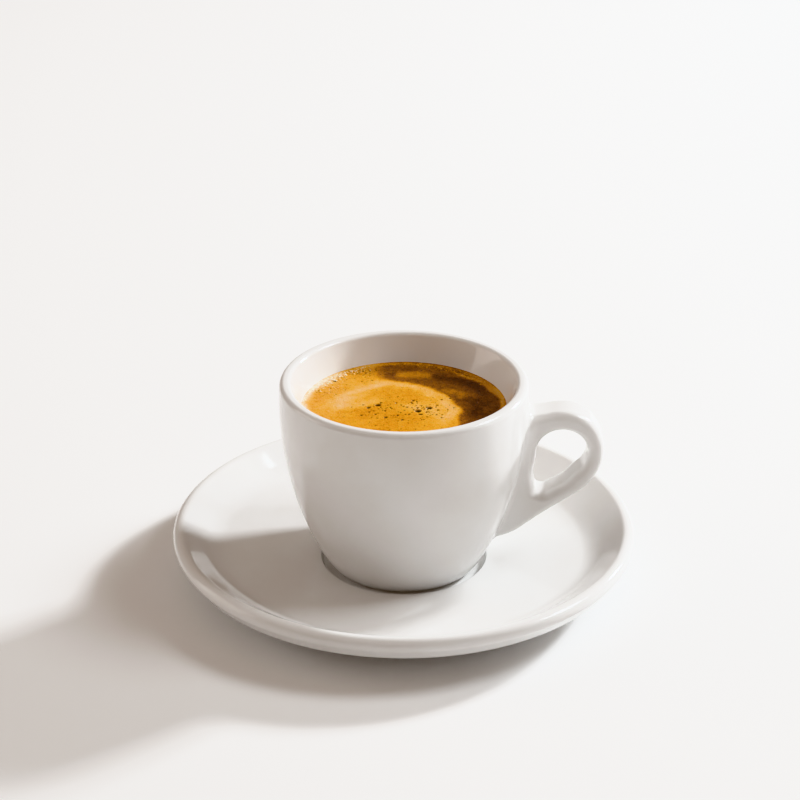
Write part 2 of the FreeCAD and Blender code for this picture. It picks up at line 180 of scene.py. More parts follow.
def addRange(nodes, links, value, fromLow, fromHigh, toLow, toHigh):
    span = nodes.new("ShaderNodeMapRange")
    for socket, number in zip(("From Min", "From Max", "To Min", "To Max"),
                              (fromLow, fromHigh, toLow, toHigh)):
        span.inputs[socket].default_value = number
    links.new(value, span.inputs["Value"])
    return span.outputs["Result"]


def addMath(nodes, links, operation, first, second):
    node = nodes.new("ShaderNodeMath")
    node.operation = operation
    for socket, value in zip(node.inputs, (first, second)):
        if isinstance(value, (int, float)):
            socket.default_value = value
        else:
            links.new(value, socket)
    return node.outputs[0]


def addMix(nodes, links, share, first, second):
    mix = nodes.new("ShaderNodeMix")
    mix.data_type = "RGBA"
    links.new(share, mix.inputs["Factor"])
    for socket, colour in ((mix.inputs[6], first), (mix.inputs[7], second)):  # its two colours
        if isinstance(colour, tuple):
            socket.default_value = (*colour, 1)
        else:
            links.new(colour, socket)
    return mix.outputs[2]


def addBump(nodes, links, height, depth, after=None):
    bump = nodes.new("ShaderNodeBump")
    bump.inputs["Distance"].default_value = depth
    links.new(height, bump.inputs["Height"])
    if after is not None:
        links.new(after, bump.inputs["Normal"])
    return bump.outputs["Normal"]


glaze = dict(
    white=(0.80, 0.795, 0.785), warm=(0.765, 0.752, 0.735),
    bareClayAndShade=(0.62, 0.58, 0.53),  # the unglazed ring that stood in the kiln; at the cup's foot it also darkens the line where the cup sits, a painted contact shade
    cloudScale=45, cloudSpan=(0.35, 0.65),  # the cloudiness from warm to white
    smearScale=160, smearSpan=(0.3, 0.7), roughLow=0.045, roughHigh=0.10,
    gritScale=2600, gritSpan=(0.3, 0.7), bareRough=0.6,
    waveScale=70, waveDepth=0.00005, pinScale=1900, pinDepth=0.000004,  # depths in metres
    ior=1.5,
)


def makeGlaze(name, bareHeight, bareFade):
    # white porcelain under a clear glaze: slight cloudiness, long soft waves in the glaze, fine
    # pinholes, and bare clay below bareHeight (in metres) where the piece stood in the kiln; on the
    # cup this clay also darkens the line where it sits, a painted contact shade
    material, nodes, links, shader = newMaterial(name)
    place = nodes.new("ShaderNodeTexCoord").outputs["Object"]
    cloud = addNoise(nodes, links, place, glaze["cloudScale"], 4)
    low, high = glaze["cloudSpan"]
    colour = addRamp(nodes, links, cloud, [(low, glaze["warm"]), (high, glaze["white"])])
    smear = addNoise(nodes, links, place, glaze["smearScale"], 5, 0.6)
    gloss = addRange(nodes, links, smear, *glaze["smearSpan"], glaze["roughLow"],
                     glaze["roughHigh"])
    split = nodes.new("ShaderNodeSeparateXYZ")
    links.new(place, split.inputs[0])
    wobble = addMath(nodes, links, "MULTIPLY", smear, bareFade)
    height = addMath(nodes, links, "SUBTRACT", split.outputs["Z"], wobble)
    # bare clay below bareHeight; at the cup's foot also a painted contact shade
    bareClayAndShade = addRange(nodes, links, height, bareHeight - bareFade, bareHeight, 1, 0)
    grit = addNoise(nodes, links, place, glaze["gritScale"], 3)
    low, high = glaze["gritSpan"]
    clay = addRamp(nodes, links, grit, [(low, glaze["bareClayAndShade"]), (high, glaze["warm"])])
    links.new(addMix(nodes, links, bareClayAndShade, colour, clay), shader.inputs["Base Color"])
    rough = addMath(nodes, links, "MAXIMUM", gloss,
                    addMath(nodes, links, "MULTIPLY", bareClayAndShade, glaze["bareRough"]))
    links.new(rough, shader.inputs["Roughness"])
    wave = addNoise(nodes, links, place, glaze["waveScale"], 1)
    pins = addNoise(nodes, links, place, glaze["pinScale"], 2)
    waves = addBump(nodes, links, wave, glaze["waveDepth"])
    links.new(addBump(nodes, links, pins, glaze["pinDepth"], waves), shader.inputs["Normal"])
    shader.inputs["IOR"].default_value = glaze["ior"]
    return material


saucer = dict(
    profile=[  # radius, height, rounding
        (0, 3.7, 0), (17.7, 3.7, 0.3), (18.2, 3.15, 0.3), (21.0, 3.15, 0.4), (21.65, 4.5, 0.35),
        (49.5, 8.0, 12),
        (67.42, 21.26, 2.0), (57.4, 7.6, 0.5), (46.0, 3.6, 9), (38.2, 2.4, 0.5),
        (37.5, 0, 0.7), (34.3, 0, 0.7), (33.6, 1.2, 0.4), (0, 1.2, 0)],
    steps=200, around=300, turnLength=3.0,
    bareHeight=0.0006, bareFade=0.0003,  # in metres
)


def buildSaucer():
    # the profile in even steps, turned once round the axis
    profile = evenSteps(roundedPath(saucer["profile"]), saucer["steps"], saucer["turnLength"])
    angles = np.linspace(0, 2 * np.pi, saucer["around"], endpoint=False)
    points, quads, caps = turned(profile, angles)
    piece = makePiece("porcelain_saucer", points, quads, caps)
    piece.data.materials.append(makeGlaze("saucerGlaze", saucer["bareHeight"], saucer["bareFade"]))
    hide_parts("saucer")


buildSaucer()


bowl = dict(
    sideRadius=87.8, sideCentre=(-56.0, 48.5),  # the outside in section is one large arc
    baseRadius=10.5, baseCentre=(11.76, 11.305),  # and a small one that turns in to the foot
    baseStart=-0.7497, turnAngle=-0.5019, sideEnd=0.0556,  # angles where the arcs begin and end
    baseSteps=16, sideSteps=90,
    under=[(0, 4.9, 0), (16.2, 4.9, 0.6), (16.5, 3.7, 0.5), (18.9, 3.7, 0.45)],
    rimAndInside=[(31.59, 54.7, 1.4), (28.95, 54.7, 1.35), (25.05, 44.5, 14),
                  (19.2, 9.2, 14), (0, 9.2, 0)],
    mostRadius=31.8, steps=186, around=296, turnLength=5.0, crowd=0.55,
    # the bare ring reaches this high partly to darken the line where the cup sits, a painted contact
    # shade
    bareHeight=0.0041, bareFade=0.0003,  # in metres
)


def arcPoints(centre, radius, start, end, count):
    # centre + radius x (cos, sin) of angles from start to end
    angle = np.linspace(start, end, count)
    return np.c_[centre[0] + radius * np.cos(angle), centre[1] + radius * np.sin(angle)]


def bowlProfile():
    # from the axis under the foot, up the base arc and the side arc, over the rim and down inside
    base = arcPoints(bowl["baseCentre"], bowl["baseRadius"], bowl["baseStart"],
                     bowl["turnAngle"], bowl["baseSteps"])
    side = arcPoints(bowl["sideCentre"], bowl["sideRadius"], bowl["turnAngle"],
                     bowl["sideEnd"], bowl["sideSteps"])[1:]
    arcs = [(r, z, 0) for r, z in np.r_[base, side]]
    return roundedPath(bowl["under"] + arcs + bowl["rimAndInside"])


def outsideOfBowl(points):
    # how far points are outside the bowl: outside its side arc, or low down outside its base arc
    radius = np.hypot(points[:, 0], points[:, 1])
    reach = radius - bowl["baseCentre"][0], points[:, 2] - bowl["baseCentre"][1]
    side = np.hypot(radius - bowl["sideCentre"][0], points[:, 2] - bowl["sideCentre"][1])
    low = reach[1] < np.tan(bowl["turnAngle"]) * reach[0]
    return np.where(low, np.hypot(*reach) - bowl["baseRadius"], side - bowl["sideRadius"])


handle = dict(
    turnHeight=36.3, reach=51.24,  # the outermost place of its loop
    topRadius=11.0, topFall=8.7,  # then it falls towards the bowl by this angle
    sideRadius=14.5, tailFall=34.4,  # and below it runs in at this slope
    toeHeight=11.3, toeRound=3.0,
    halfWidth=4.8, edgeRound=2.2, holeRound=2.0,
    holeTop=(40.36, 35.34), holeTopRadius=6.64, holeTip=(35.66, 25.73), holeTipRadius=2.0,
    outerBulge=0.6, innerBulge=0.5,
    flareStart=33.8, flareEnd=8.8, flareSoft=1.6,  # it widens from here towards the bowl,
    flareSlope=0.62, flareLow=(4, 31), flareMore=0.2, flareMiddle=(30, 38),  # steeper higher up,
    flareHigh=(41.5, 48),  # and not at all at its top
    hollow=0.9, topHollow=1.8, hollowTurn=(43, 46),  # rounding between it and the bowl
    middle=(38.4, 31.5), buried=2.6, bendEnd=37.0,
    rays=288, faceSteps=30, edgeSteps=22, follow=8, halvings=40,
    holeFar=14, outlineFar=40,  # rays from the middle are shorter than these
    # the loop follows the cup's surface from these shares round the hollow on, and where it is
    # no deeper than this in the bowl; the bowl follows it up to its own shares
    loopTakes=(0.36, 0.44), loopSinks=(-2.4, -1.4), bowlGives=(0.56, 0.64),
)
# where the bowl swells out to the handle: from this far across, between low and high (its shading
# from shadeLow up), by at most this; a point that would move beyond reached stays where it was
root = dict(across=12, low=5, shadeLow=6.5, high=50, most=3.0, reached=2.9, slack=0.02, halvings=26)


def roundMax(a, b, radius):
    # the larger of two distances, with the edge between them rounded
    outside = np.hypot(np.maximum(radius + a, 0), np.maximum(radius + b, 0))
    return np.minimum(-radius, np.maximum(a, b)) + outside


def handleOutline(across, up):
    # distance outside the handle's side view without its hole: a fallen line and an arc above the
    # outermost place, an arc and a sloped line below it, and a toe that ends level
    top = across - (handle["reach"] - handle["topRadius"]), up - handle["turnHeight"]
    side = across - (handle["reach"] - handle["sideRadius"]), up - handle["turnHeight"]
    beyond = across - handle["reach"]
    lineAngle = np.radians(90 + handle["topFall"])
    topLine = top[0] * np.cos(lineAngle) + top[1] * np.sin(lineAngle) - handle["topRadius"]
    onTopArc = np.arctan2(top[1], top[0]) < lineAngle
    above = np.where(onTopArc, np.hypot(*top) - handle["topRadius"], topLine)
    above = np.where(top[1] < 0, beyond, above)
    lineAngle = np.radians(handle["tailFall"] - 90)
    tailLine = side[0] * np.cos(lineAngle) + side[1] * np.sin(lineAngle) - handle["sideRadius"]
    onSideArc = np.arctan2(side[1], side[0]) > lineAngle
    below = np.where(onSideArc, np.hypot(*side) - handle["sideRadius"], tailLine)
    below = np.where(side[1] > 0, beyond, below)
    below = roundMax(below, handle["toeHeight"] - up, handle["toeRound"])
    return np.maximum(above, below)


def holeOutline(across, up):
    # distance outside the finger hole: two circles and their common tangents, bulging a little
    large, small = np.array(handle["holeTop"]), np.array(handle["holeTip"])
    run = np.linalg.norm(large - small)
    axis = (large - small) / run
    offset = across - small[0], up - small[1]
    along = offset[0] * axis[0] + offset[1] * axis[1]
    beside = offset[0] * axis[1] - offset[1] * axis[0]
    lean = (handle["holeTipRadius"] - handle["holeTopRadius"]) / run
    stand = np.sqrt(1 - lean * lean)
    share = -lean * np.abs(beside) + stand * along
    distance = np.abs(beside) * stand + along * lean - handle["holeTipRadius"]
    distance = np.where(share < 0, np.hypot(beside, along) - handle["holeTipRadius"], distance)
    distance = np.where(share > stand * run,
                        np.hypot(beside, along - run) - handle["holeTopRadius"], distance)
    bulge = np.where(beside > 0, handle["outerBulge"], handle["innerBulge"])
    return distance - bulge * np.sin(np.pi * np.clip(share / (stand * run), 0, 1)) ** 2


def flareAt(across, up):
    # half the handle's thickness, which grows along a straight slope towards the bowl, and that slope
    slope = handle["flareSlope"] * smoothStep(*handle["flareLow"], up)
    slope = slope + handle["flareMore"] * smoothStep(*handle["flareMiddle"], up)
    slope = slope * (1 - smoothStep(*handle["flareHigh"], up))
    inward = np.minimum(handle["flareStart"] - across, handle["flareEnd"])
    return handle["halfWidth"] + slope * (inward + np.hypot(inward, handle["flareSoft"])) / 2, slope


def cupDistance(points):
    # distance outside bowl and handle together: the handle is its side view with a thickness and
    # rounded edges, a ball of the hollow's radius rolls in the corner between it and the bowl, and
    # the finger hole is cut through both with a rounded edge. Also how far round the hollow
    # the place is, from 0 at the bowl to 1 at the handle.
    across, beside, up = points.T
    half, slope = flareAt(across, up)
    slab = roundMax(handleOutline(across, up), (np.abs(beside) - half) / np.hypot(1, slope),
                    handle["edgeRound"])
    wall = outsideOfBowl(points)
    radius = handle["hollow"] + (handle["topHollow"] - handle["hollow"]) * smoothStep(
        *handle["hollowTurn"], up)
    fromBowl, fromHandle = np.maximum(radius - wall, 0), np.maximum(radius - slab, 0)
    joined = np.maximum(radius, np.minimum(wall, slab)) - np.hypot(fromBowl, fromHandle)
    share = fromHandle / np.maximum(fromHandle + fromBowl, 1e-6)
    return roundMax(joined, -holeOutline(across, up), handle["holeRound"]), share


def cupSlope(points, step=0.01, least=1e-6):
    # the direction in which the distance grows fastest
    sides = [cupDistance(points + step * axis)[0] - cupDistance(points - step * axis)[0]
             for axis in np.eye(3)]
    slope = np.stack(sides, 1) / (2 * step)
    return slope / np.maximum(np.linalg.norm(slope, axis=1, keepdims=True), least)


def rayLength(inside, angles, far):
    # how far from the hole's middle a ray leaves the shape, by halving the interval
    low, high = np.zeros_like(angles), np.full_like(angles, far)
    for _ in range(handle["halvings"]):
        half = (low + high) / 2
        within = inside(handle["middle"][0] + half * np.cos(angles),
                        handle["middle"][1] + half * np.sin(angles))
        low, high = np.where(within, half, low), np.where(within, high, half)
    return (low + high) / 2


def inHandle(across, up):
    # inside the outline, and no deeper inside the bowl than the buried length
    flat = np.c_[across, across * 0, up]
    return (handleOutline(across, up) < 0) & (outsideOfBowl(flat) > -handle["buried"])


def handleLoop():
    # rays from the middle of the hole cut the loop into sections; each section is a rectangle
    # from the hole to the outline, moved out along the slope until it lies on the cup's surface
    angles = np.linspace(0, 2 * np.pi, handle["rays"], endpoint=False)
    inner = rayLength(lambda a, u: holeOutline(a, u) < 0, angles, handle["holeFar"])
    outer = rayLength(inHandle, angles, handle["outlineFar"])
    face = np.linspace(0, 1, handle["faceSteps"], endpoint=False)
    edge = np.linspace(-1, 1, handle["edgeSteps"], endpoint=False)
    share = np.r_[face, edge * 0 + 1, 1 - face, edge * 0]
    beside = np.r_[face * 0 - 1, edge, face * 0 + 1, -edge]
    length = inner[:, None] + (outer - inner)[:, None] * share
    across = handle["middle"][0] + length * np.cos(angles)[:, None]
    up = handle["middle"][1] + length * np.sin(angles)[:, None]
    beside = beside * flareAt(across, up)[0]
    bend = 1 - smoothStep(bowl["mostRadius"], handle["bendEnd"], across)
    across = across - bend * (across - np.sqrt(across ** 2 - beside ** 2))  # round with the bowl
    points = np.stack([across, beside, up], -1).reshape(-1, 3)
    first = points.copy()
    for _ in range(handle["follow"]):
        points = points - cupDistance(points)[0][:, None] * cupSlope(points)
    keep = smoothStep(*handle["loopTakes"], cupDistance(points)[1])
    keep = keep * smoothStep(*handle["loopSinks"], outsideOfBowl(first))
    points = first + keep[:, None] * (points - first)
    return points, gridQuads(len(angles), len(share), closeRows=True)


def atRoot(points, low):
    # which points of the bowl's outside are near the handle, from the height low upwards
    near = (points[:, 0] > root["across"]) & (outsideOfBowl(points) > -root["slack"])
    return near & (points[:, 2] < root["high"]) & (points[:, 2] > low)


def bowlSurface():
    # the profile turned round the axis; near the handle each point moves out along the bowl's
    # normal to where the distance outside the cup is zero, by halving the interval
    profile = evenSteps(bowlProfile(), bowl["steps"], bowl["turnLength"])
    turn = np.linspace(0, 2 * np.pi, bowl["around"], endpoint=False)
    angles = turn - bowl["crowd"] * np.sin(turn)  # closer together at the handle
    points, quads, caps = turned(profile, angles)
    near = atRoot(points, root["low"])
    start = points[near]
    radius = np.hypot(start[:, 0], start[:, 1])
    out = np.c_[start[:, :2] / radius[:, None], start[:, 2] * 0]
    lean = (start[:, 2] - bowl["sideCentre"][1]) / bowl["sideRadius"]
    out = out * np.sqrt(1 - lean ** 2)[:, None] + np.c_[lean * 0, lean * 0, lean]
    low, high = np.zeros(len(start)), np.full(len(start), root["most"])
    for _ in range(root["halvings"]):
        half = (low + high) / 2
        within = cupDistance(start + half[:, None] * out)[0] < 0
        low, high = np.where(within, half, low), np.where(within, high, half)
    reached = start + half[:, None] * out
    share = cupDistance(reached)[1]
    share = np.where(half > root["reached"], 1, share)
    keep = 1 - smoothStep(*handle["bowlGives"], share)
    points[near] = start + (keep * half)[:, None] * out
    return points, quads, caps


def meshNormals(points, quads, triangles, least=1e-12):
    # mean of the faces around each point, weighted by area
    normals = np.zeros_like(points)
    for faces in (quads, triangles):
        a, b, c = (points[faces[:, k]] for k in (0, 1, -1))
        for k in range(faces.shape[1]):
            np.add.at(normals, faces[:, k], np.cross(b - a, c - a))
    return normals / np.maximum(np.linalg.norm(normals, axis=1, keepdims=True), least)


def buildCup():
    # bowl and handle are two closed shells that run into each other; both take their shading
    # from the slope of the one distance, so that no seam shows
    points, quads, caps = bowlSurface()
    normals = meshNormals(points, quads, caps)
    near = atRoot(points, root["shadeLow"])
    normals[near] = cupSlope(points[near])
    loop, loopQuads = handleLoop()
    loopQuads = facedOutwards(loop, loopQuads, caps[:0])[0]
    normals = np.r_[normals, cupSlope(loop)]
    quads = np.r_[quads, loopQuads + len(points)]
    piece = makePiece("porcelain_cup", np.r_[points, loop], quads, caps, normals)
    piece.data.materials.append(makeGlaze("cupGlaze", bowl["bareHeight"], bowl["bareFade"]))
    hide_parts("cup")


buildCup()


drink = dict(
    level=47.1, radius=26.2, cells=280, seed=41,
    body=[(26.2, 47.3, 0), (25.15, 44.5, 14), (19.3, 9.15, 14), (0, 9.15, 0)],
    bodyRows=10, bodyTurnLength=4.0, bodyTone=0.3,
    creep=0.35, creepWidth=0.6,  # the foam climbs the wall by this much
    cloudSizes=(9.0, 4.0, 1.8, 0.8, 0.4),
    swell=(0.072, 0.048), calmWidth=2, grain=0.022,  # heights of the two large and two fine clouds
    warp=1.1, fineWarp=0.35,  # the folds wander by this much
    tone=0.50, cloudTones=(0.05, 0.04, 0.03),
    wallTone=0.16, wallAt=0.5, wallWidth=0.9,  # a lighter line along the wall
    # shares of its length where a fold begins and ends, and how steep its sides are
    foldStart=(-0.12, 0.18), foldEnd=(0.82, 1.12), foldPower=2.6,
    # beyond this circle the foam is painted darker: the shadow that the rim casts, painted in, over
    # foam that is darker there too
    rimShadowCentre=(-9.6, -7.4), rimShadowRadius=24.3, rimShadowEdge=0.9, rimShadowTone=0.34,
    rimShadowFrom=(-9.5, -3.5),  # across, where the painted rim shadow begins and where it is full
)

# an open bubble is a pit with a raised edge, a closed one a dome that is also painted lighter, a
# painted glint; shares of its radius
bubble = dict(
    pitDepth=0.85, edgeRise=0.10, edgeAt=1.12, edgeWidth=0.16, pitReach=2, pitFade=(0.72, 1.15),
    domeRise=0.75, domeLift=0.1, domeGlint=0.24, domeGlintFade=(0.6, 1.1),
    sizeBias=2.2,  # most bubbles are near the small end of their range
)

# pale folds and dark patches of the foam: start, end, bow to the left, half width, strength
folds = [
    ((-19.5, -2.0), (-4.0, 15.5), 1.5, 3.0, 0.25),
    ((-18.0, -1.5), (-5.0, 4.5), -0.6, 2.2, 0.15),
    ((-3.0, 14.5), (13.0, -6.0), 4.6, 2.2, 0.20),
    ((2.0, 2.0), (12.0, -9.0), 1.0, 4.0, 0.18),
    ((-25.0, -7.0), (-17.0, 19.0), 4.0, 1.7, 0.34),
    ((-19.0, -13.0), (3.0, -19.0), -2.5, 4.5, -0.16),
    ((-14.0, 6.0), (-3.0, 12.5), 0.5, 1.1, -0.12),
    ((6.0, 19.0), (22.5, 5.0), 3.0, 2.2, -0.16),
    ((17.5, 6.0), (18.5, -7.0), 1.5, 2.6, -0.12),
    ((11.5, 10.0), (16.5, 5.0), 0.6, 1.5, 0.16),
    ((-2.0, 19.4), (8.0, 18.2), 0.8, 1.8, 0.24),
    ((13.0, 20.4), (25.0, -6.0), 5.4, 0.8, 0.26),
]

# open bubbles: across, along, radius
openBubbles = [
    (-6.6, 0.8, 0.78), (-9.0, -0.6, 0.54), (-5.9, 2.2, 0.38), (3.6, -2.7, 0.86), (6.5, -0.9, 0.76),
    (4.4, -4.6, 0.42), (-4.6, -6.3, 0.50), (2.4, 3.4, 0.42), (2.1, 1.7, 0.32), (8.6, -2.0, 0.38),
    (-0.4, -7.6, 0.42), (-7.2, -4.4, 0.38), (9.6, -4.9, 0.32), (-10.8, -4.9, 0.32),
]

# scattered bubbles: where (across, along, spread) or (angles, radii), how many, radii, open or not
scatter = [
    dict(centre=(-6.5, -1.6), spread=2.9, count=46, size=(0.13, 0.34), hollow=True),
    dict(centre=(5.2, -2.4), spread=3.7, count=84, size=(0.13, 0.34), hollow=True),
    dict(centre=(-1.0, -4.5), spread=5.5, count=46, size=(0.11, 0.24), hollow=True),
    dict(angles=(100, 165), reach=(17.5, 24.0), count=74, size=(0.10, 0.24), hollow=True),
    dict(angles=(20, 80), reach=(17.0, 24.5), count=60, size=(0.09, 0.17), hollow=True),
    dict(angles=(0, 360), reach=(0, 25), count=190, size=(0.08, 0.14), hollow=True),
    dict(angles=(112, 160), reach=(22.8, 25.6), count=210, size=(0.16, 0.38), hollow=False),
    dict(angles=(32, 84), reach=(23.6, 25.7), count=110, size=(0.14, 0.30), hollow=False),
    dict(angles=(0, 360), reach=(25.0, 25.9), count=240, size=(0.14, 0.28), hollow=False),
]


def foamGrid():
    # a square grid drawn into a disc: x = a root(1 - b b / 2), y = b root(1 - a a / 2)
    side = np.linspace(-1, 1, drink["cells"] + 1)
    a, b = np.meshgrid(side, side, indexing="ij")
    return (drink["radius"] * a * np.sqrt(1 - b * b / 2),
            drink["radius"] * b * np.sqrt(1 - a * a / 2))


def cloudAt(x, y, size, random):
    # a smooth random field: a lattice of random numbers every size mm, eased between its points
    reach = int(2 * drink["radius"] / size) + 4
    lattice = random.uniform(-1, 1, (reach, reach))
    u, v = x / size + reach / 2, y / size + reach / 2
    i, j = np.floor(u).astype(int), np.floor(v).astype(int)
    s, t = smoothStep(0, 1, u - i), smoothStep(0, 1, v - j)
    return ((1 - s) * (1 - t) * lattice[i, j] + s * (1 - t) * lattice[i + 1, j]
            + (1 - s) * t * lattice[i, j + 1] + s * t * lattice[i + 1, j + 1])


def foldAt(x, y, start, end, bow, width):
    # a stroke that bows by bow x 4 s (1 - s) at the share s of its length, and is as strong as
    # exp(-|distance beside it / width| ^ foldPower), eased in and out at its ends
    run = np.hypot(end[0] - start[0], end[1] - start[1])
    axis = (end[0] - start[0]) / run, (end[1] - start[1]) / run
    share = ((x - start[0]) * axis[0] + (y - start[1]) * axis[1]) / run
    beside = (y - start[1]) * axis[0] - (x - start[0]) * axis[1]
    beside = beside - bow * 4 * share * (1 - share)
    ends = smoothStep(*drink["foldStart"], share) * (1 - smoothStep(*drink["foldEnd"], share))
    return np.exp(-np.abs(beside / width) ** drink["foldPower"]) * ends


def bubblePlaces(random):
    # every bubble as across, along, radius, open or not; a scattered one has the radius
    # low + (high - low) x random ^ sizeBias
    rows = [(*place, 1.0) for place in openBubbles]
    for group in scatter:
        count = group["count"]
        if "centre" in group:
            x, y = (random.normal(c, group["spread"], count) for c in group["centre"])
        else:
            angle = np.radians(random.uniform(*group["angles"], count))
            reach = np.sqrt(random.uniform(group["reach"][0] ** 2, group["reach"][1] ** 2, count))
            x, y = reach * np.cos(angle), reach * np.sin(angle)
        low, high = group["size"]
        size = low + (high - low) * random.uniform(0, 1, count) ** bubble["sizeBias"]
        rows.extend(zip(x, y, size, np.full(count, float(group["hollow"]))))
    return np.array(rows)


crema = dict(
    # the near-white last stop is reached mostly by the painted glints of the closed bubbles
    tones=[
        (0.0, (0.05, 0.012, 0.002)), (0.20, (0.20, 0.070, 0.012)), (0.42, (0.58, 0.225, 0.010)),
        (0.62, (0.73, 0.365, 0.045)), (0.80, (0.78, 0.46, 0.18)), (0.93, (0.85, 0.60, 0.33)),
        (1.0, (0.95, 0.85, 0.68))],
    pit=(0.016, 0.005, 0.002),
    fineScale=3200, fineSpan=(0.25, 0.75), fineTone=0.15,
    coarseScale=700, coarseSpan=(0.3, 0.7), coarseTone=0.06,
    poreScale=1500, poreSize=(0.10, 0.22), poreShare=(0.72, 0.80), poreDepth=0.55,
    roughLow=0.24, roughHigh=0.38, ior=1.33, specular=0.35,
    beadScale=2600, beadSmooth=0.4, beadDepth=0.00005,  # the depth in metres
    inside=0.12, insideReach=(0.0016, 0.0008, 0.0003),  # light that travels inside the foam
)


def makeCrema():
    # colour from the foam's tone, which holds its painted rim shadow and painted glints, broken up by
    # fine grain, with dark open bubbles
    material, nodes, links, shader = newMaterial("cremaFoam")
    place = nodes.new("ShaderNodeTexCoord").outputs["Object"]
    tone = nodes.new("ShaderNodeAttribute")
    tone.attribute_name = "foamTone"
    pit = nodes.new("ShaderNodeAttribute")
    pit.attribute_name = "openBubble"
    fine = addNoise(nodes, links, place, crema["fineScale"], 4, 0.65)
    coarse = addNoise(nodes, links, place, crema["coarseScale"], 3, 0.6)
    fineTone, coarseTone = crema["fineTone"], crema["coarseTone"]
    grain = addMath(nodes, links, "ADD",
                    addRange(nodes, links, fine, *crema["fineSpan"], -fineTone, fineTone),
                    addRange(nodes, links, coarse, *crema["coarseSpan"], -coarseTone, coarseTone))
    shade = addMath(nodes, links, "ADD", tone.outputs["Fac"], grain)
    colour = addRamp(nodes, links, shade, crema["tones"])
    pores = nodes.new("ShaderNodeTexVoronoi")
    pores.inputs["Scale"].default_value = crema["poreScale"]
    links.new(place, pores.inputs["Vector"])
    pore = addRange(nodes, links, pores.outputs["Distance"], *crema["poreSize"], 1, 0)
    some = nodes.new("ShaderNodeSeparateColor")
    links.new(pores.outputs["Color"], some.inputs[0])
    pore = addMath(nodes, links, "MULTIPLY", pore,
                   addRange(nodes, links, some.outputs[0], *crema["poreShare"], 0,
                            crema["poreDepth"]))
    dark = addMath(nodes, links, "MAXIMUM", pore, pit.outputs["Fac"])
    links.new(addMix(nodes, links, dark, colour, crema["pit"]), shader.inputs["Base Color"])
    rough = addRange(nodes, links, coarse, *crema["coarseSpan"], crema["roughLow"],
                     crema["roughHigh"])
    links.new(rough, shader.inputs["Roughness"])
    beads = nodes.new("ShaderNodeTexVoronoi")
    beads.feature = "SMOOTH_F1"
    beads.inputs["Scale"].default_value = crema["beadScale"]
    beads.inputs["Smoothness"].default_value = crema["beadSmooth"]
    links.new(place, beads.inputs["Vector"])
    soft = addBump(nodes, links, fine, crema["beadDepth"])
    links.new(addBump(nodes, links, beads.outputs["Distance"], crema["beadDepth"], soft),
              shader.inputs["Normal"])
    shader.inputs["IOR"].default_value = crema["ior"]
    shader.inputs["Specular IOR Level"].default_value = crema["specular"]
    shader.inputs["Subsurface Weight"].default_value = crema["inside"]
    shader.inputs["Subsurface Radius"].default_value = crema["insideReach"]
    shader.inputs["Subsurface Scale"].default_value = 1.0
    return material


def foamRelief(x, y, random):
    # height = level + creep x exp(-distance from the wall / its width) + clouds, with a pit or a
    # dome for every bubble; tone = base + clouds + folds - painted rim shadow + the line along the
    # wall + painted glints on the domes
    fromWall = drink["radius"] - np.hypot(x, y)
    height = drink["level"] + drink["creep"] * np.exp(-fromWall / drink["creepWidth"])
    clouds = [cloudAt(x, y, size, random) for size in drink["cloudSizes"]]
    swell = drink["swell"][0] * clouds[0] + drink["swell"][1] * clouds[1]
    height += smoothStep(0, drink["calmWidth"], fromWall) * (
        swell + drink["grain"] * (clouds[3] + clouds[4]))
    warpX = x + drink["warp"] * clouds[1] + drink["fineWarp"] * clouds[2]
    warpY = y + drink["warp"] * clouds[0] + drink["fineWarp"] * clouds[3]
    tone = drink["tone"] + sum(share * cloud for share, cloud in zip(drink["cloudTones"], clouds))
    for start, end, bow, width, strength in folds:
        tone += strength * foldAt(warpX, warpY, start, end, bow, width)
    # the foam beyond the circle is painted darker: the rim's shadow painted in, over foam that is
    # darker there too
    beyond = np.hypot(warpX - drink["rimShadowCentre"][0], warpY - drink["rimShadowCentre"][1])
    beyond -= drink["rimShadowRadius"]
    rimShadow = smoothStep(-drink["rimShadowEdge"], drink["rimShadowEdge"], beyond)
    tone -= drink["rimShadowTone"] * rimShadow * smoothStep(*drink["rimShadowFrom"], warpX)
    tone += drink["wallTone"] * np.exp(-((fromWall - drink["wallAt"]) / drink["wallWidth"]) ** 2)
    pit = np.zeros_like(x)
    for across, along, radius, hollow in bubblePlaces(random):
        share = np.hypot(x - across, y - along) / radius
        cap = np.sqrt(np.clip(1 - share * share, 0, 1))
        if hollow:
            edge = np.exp(-((share - bubble["edgeAt"]) / bubble["edgeWidth"]) ** 2)
            relief = bubble["edgeRise"] * edge - bubble["pitDepth"] * cap
            height += radius * relief * (share < bubble["pitReach"])
            pit = np.maximum(pit, 1 - smoothStep(*bubble["pitFade"], share))
        else:
            dome = radius * (bubble["domeRise"] * cap + bubble["domeLift"])
            height = np.where(share < 1, np.maximum(height, drink["level"] + dome), height)
            # a closed bubble is painted lighter towards near-white: a painted glint
            tone += bubble["domeGlint"] * (1 - smoothStep(*bubble["domeGlintFade"], share))
    return height, tone, pit


